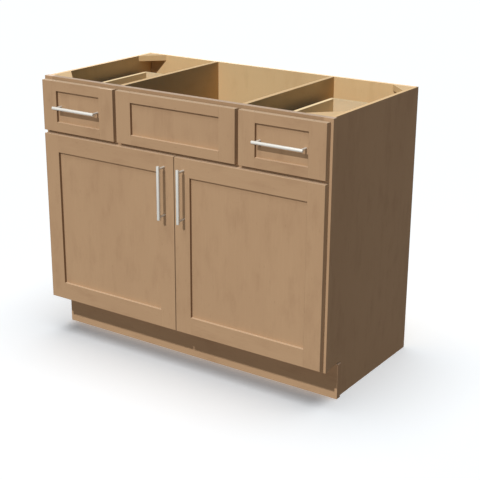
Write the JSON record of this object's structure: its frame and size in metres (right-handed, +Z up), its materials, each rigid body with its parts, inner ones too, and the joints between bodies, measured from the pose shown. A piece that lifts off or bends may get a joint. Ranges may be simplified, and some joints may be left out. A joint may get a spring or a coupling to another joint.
{
  "type": "vanity sink base cabinet",
  "caption": "Open-topped face-frame bathroom vanity base with recessed-panel doors, side drawers, a fixed centre front, bar pulls and a toe kick.",
  "frame": {"origin": "on the floor, at the centre of the footprint, pulls included", "axes": "+X to the right as seen from the room, +Y back to the wall, +Z up"},
  "size_m": [1.0668, 0.5914, 0.8763],
  "materials": {
    "stained_maple": "satin",
    "natural_maple": "satin",
    "satin_nickel": "satin",
    "nickel_steel": "plated",
    "zinc_steel": "zinc plated",
    "clear_rubber": "soft"
  },
  "bodies": {
    "cabinet": {"back_panel": "natural_maple", "bottom_panel": "natural_maple", "bottom_rail": "stained_maple", "cabinet_slide_members": "zinc_steel", "corner_blocks": "natural_maple", "drawer_mullions": "stained_maple", "false_front_brackets": "zinc_steel", "false_front_panel": "stained_maple", "false_front_rails": "stained_maple", "false_front_stiles": "stained_maple", "frame_bumpers": "clear_rubber", "hinge_arms": "nickel_steel", "left_end_panel": "stained_maple", "left_partition": "natural_maple", "left_stile": "stained_maple", "middle_rail": "stained_maple", "right_end_panel": "stained_maple", "right_partition": "natural_maple", "right_stile": "stained_maple", "slide_rear_brackets": "zinc_steel", "toe_kick_board": "stained_maple", "top_rail": "stained_maple"},
    "left_door": {"left_door_bottom_rail": "stained_maple", "left_door_hinge_cups": "nickel_steel", "left_door_hinge_pins": "nickel_steel", "left_door_hinge_stile": "stained_maple", "left_door_meeting_stile": "stained_maple", "left_door_panel": "stained_maple", "left_door_pull": "satin_nickel", "left_door_pull_screws": "nickel_steel", "left_door_top_rail": "stained_maple"},
    "left_drawer": {"left_drawer_bottom": "natural_maple", "left_drawer_box_back": "natural_maple", "left_drawer_box_front": "natural_maple", "left_drawer_box_sides": "natural_maple", "left_drawer_front_panel": "stained_maple", "left_drawer_front_rails": "stained_maple", "left_drawer_front_stiles": "stained_maple", "left_drawer_pull": "satin_nickel", "left_drawer_slide_members": "zinc_steel"},
    "left_slide_middle": {"left_slide_middle_members": "zinc_steel"},
    "right_door": {"right_door_bottom_rail": "stained_maple", "right_door_hinge_cups": "nickel_steel", "right_door_hinge_pins": "nickel_steel", "right_door_hinge_stile": "stained_maple", "right_door_meeting_stile": "stained_maple", "right_door_panel": "stained_maple", "right_door_pull": "satin_nickel", "right_door_pull_screws": "nickel_steel", "right_door_top_rail": "stained_maple"},
    "right_drawer": {"right_drawer_bottom": "natural_maple", "right_drawer_box_back": "natural_maple", "right_drawer_box_front": "natural_maple", "right_drawer_box_sides": "natural_maple", "right_drawer_front_panel": "stained_maple", "right_drawer_front_rails": "stained_maple", "right_drawer_front_stiles": "stained_maple", "right_drawer_pull": "satin_nickel", "right_drawer_slide_members": "zinc_steel"},
    "right_slide_middle": {"right_slide_middle_members": "zinc_steel"}
  },
  "joints": [
    {"name": "left_door_hinge", "type": "hinge", "parent": "cabinet", "child": "left_door", "pos_m": [-0.51786, -0.24968, 0.40895], "axis": [0, 0, -1], "range_deg": [0, 105]},
    {"name": "right_door_hinge", "type": "hinge", "parent": "cabinet", "child": "right_door", "pos_m": [0.51786, -0.24968, 0.40895], "axis": [0, 0, 1], "range_deg": [0, 105]},
    {"name": "left_drawer_slide", "type": "slide", "parent": "cabinet", "child": "left_drawer", "axis": [0, -1, 0], "range_m": [0, 0.43]},
    {"name": "right_drawer_slide", "type": "slide", "parent": "cabinet", "child": "right_drawer", "axis": [0, -1, 0], "range_m": [0, 0.43]},
    {"name": "left_slide_middle_travel", "type": "slide", "parent": "cabinet", "child": "left_slide_middle", "axis": [0, -1, 0], "range_m": [0, 0.215]},
    {"name": "right_slide_middle_travel", "type": "slide", "parent": "cabinet", "child": "right_slide_middle", "axis": [0, -1, 0], "range_m": [0, 0.215]}
  ],
  "couplings": [
    {"joint": "left_slide_middle_travel", "follows": "left_drawer_slide", "ratio": 0.5},
    {"joint": "right_slide_middle_travel", "follows": "right_drawer_slide", "ratio": 0.5}
  ]
}
